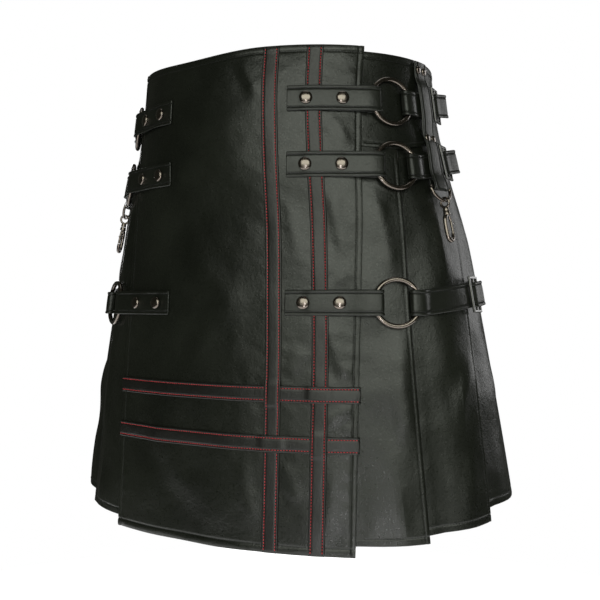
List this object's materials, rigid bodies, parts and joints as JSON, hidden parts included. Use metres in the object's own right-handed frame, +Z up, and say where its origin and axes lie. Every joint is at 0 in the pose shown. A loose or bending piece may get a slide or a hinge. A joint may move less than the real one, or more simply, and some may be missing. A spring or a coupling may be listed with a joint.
{
  "type": "leather utility kilt",
  "caption": "Black leather utility kilt in its worn shape: woven trim on the front apron, riveted straps to O-rings and slides, knife pleats, side hangers with snap hooks.",
  "frame": {"origin": "middle of the waist opening, at the height of the front apron's top edge", "axes": "+Z up, towards the wearer's head; the front apron faces -Y; the wearer's left is +X"},
  "size_m": [0.6144, 0.4394, 0.61],
  "materials": {
    "leather": "smooth garment leather, soft sheen",
    "strap_leather": "smooth strap leather with turned edges",
    "trim_leather": "smooth leather with red stitching",
    "nickel": "polished nickel plate"
  },
  "bodies": {
    "kilt": {"apron": "leather", "under_apron": "leather", "yoke": "leather", "pleats_left_1_2": "leather", "pleats_left_3_4": "leather", "pleats_left_5_6": "leather", "pleats_right_1_2": "leather", "pleats_right_3_4": "leather", "pleats_right_5_6": "leather", "pleat_centre_back": "leather", "band_upright_inner": "trim_leather", "band_upright_outer": "trim_leather", "band_level_upper": "trim_leather", "band_level_lower": "trim_leather", "strap_apron_upper_left": "strap_leather", "strap_hip_upper_left": "strap_leather", "o_ring_upper_left": "nickel", "slide_upper_left": "nickel", "rivet_upper_left_1": "nickel", "rivet_upper_left_2": "nickel", "strap_apron_upper_right": "strap_leather", "strap_hip_upper_right": "strap_leather", "o_ring_upper_right": "nickel", "slide_upper_right": "nickel", "rivet_upper_right_1": "nickel", "rivet_upper_right_2": "nickel", "strap_apron_middle_left": "strap_leather", "strap_hip_middle_left": "strap_leather", "o_ring_middle_left": "nickel", "slide_middle_left": "nickel", "rivet_middle_left_1": "nickel", "rivet_middle_left_2": "nickel", "strap_apron_middle_right": "strap_leather", "strap_hip_middle_right": "strap_leather", "o_ring_middle_right": "nickel", "slide_middle_right": "nickel", "rivet_middle_right_1": "nickel", "rivet_middle_right_2": "nickel", "strap_apron_lower_left": "strap_leather", "strap_hip_lower_left": "strap_leather", "o_ring_lower_left": "nickel", "slide_lower_left": "nickel", "rivet_lower_left_1": "nickel", "rivet_lower_left_2": "nickel", "strap_apron_lower_right": "strap_leather", "strap_hip_lower_right": "strap_leather", "o_ring_lower_right": "nickel", "slide_lower_right": "nickel", "rivet_lower_right_1": "nickel", "rivet_lower_right_2": "nickel", "hanger_left": "strap_leather", "hanger_right": "strap_leather"},
    "d_ring_body_left": {"d_ring_left": "nickel"},
    "snap_eye_body_left": {"snap_eye_left": "nickel"},
    "snap_hook_body_left": {"snap_hook_left": "nickel"},
    "snap_gate_body_left": {"snap_gate_left": "nickel"},
    "d_ring_body_right": {"d_ring_right": "nickel"},
    "snap_eye_body_right": {"snap_eye_right": "nickel"},
    "snap_hook_body_right": {"snap_hook_right": "nickel"},
    "snap_gate_body_right": {"snap_gate_right": "nickel"}
  },
  "joints": [
    {"name": "d_ring_hinge_left", "type": "hinge", "parent": "kilt", "child": "d_ring_body_left", "pos_m": [0.23724, -0.04201, -0.17], "axis": [-0.3192, -0.9477, 0], "range_deg": [0, 110]},
    {"name": "snap_swing_left", "type": "hinge", "parent": "d_ring_body_left", "child": "snap_eye_body_left", "pos_m": [0.24425, -0.04437, -0.1875], "axis": [-0.3192, -0.9477, 0], "range_deg": [0, 60]},
    {"name": "snap_swivel_left", "type": "hinge", "parent": "snap_eye_body_left", "child": "snap_hook_body_left", "pos_m": [0.24425, -0.04437, -0.1875], "axis": [-0.1883, 0.0634, 0.9801], "continuous": true},
    {"name": "snap_gate_hinge_left", "type": "hinge", "parent": "snap_hook_body_left", "child": "snap_gate_body_left", "pos_m": [0.24921, -0.04172, -0.20647], "axis": [-0.9288, 0.3129, -0.1987], "range_deg": [0, 22], "stiffness_Nm_per_rad": 0.02},
    {"name": "d_ring_hinge_right", "type": "hinge", "parent": "kilt", "child": "d_ring_body_right", "pos_m": [-0.23724, -0.04201, -0.17], "axis": [-0.3192, 0.9477, 0], "range_deg": [0, 110]},
    {"name": "snap_swing_right", "type": "hinge", "parent": "d_ring_body_right", "child": "snap_eye_body_right", "pos_m": [-0.24425, -0.04437, -0.1875], "axis": [-0.3192, 0.9477, 0], "range_deg": [0, 60]},
    {"name": "snap_swivel_right", "type": "hinge", "parent": "snap_eye_body_right", "child": "snap_hook_body_right", "pos_m": [-0.24425, -0.04437, -0.1875], "axis": [0.1883, 0.0634, 0.9801], "continuous": true},
    {"name": "snap_gate_hinge_right", "type": "hinge", "parent": "snap_hook_body_right", "child": "snap_gate_body_right", "pos_m": [-0.24659, -0.04949, -0.20647], "axis": [0.9288, 0.3129, -0.1987], "range_deg": [0, 22], "stiffness_Nm_per_rad": 0.02}
  ]
}
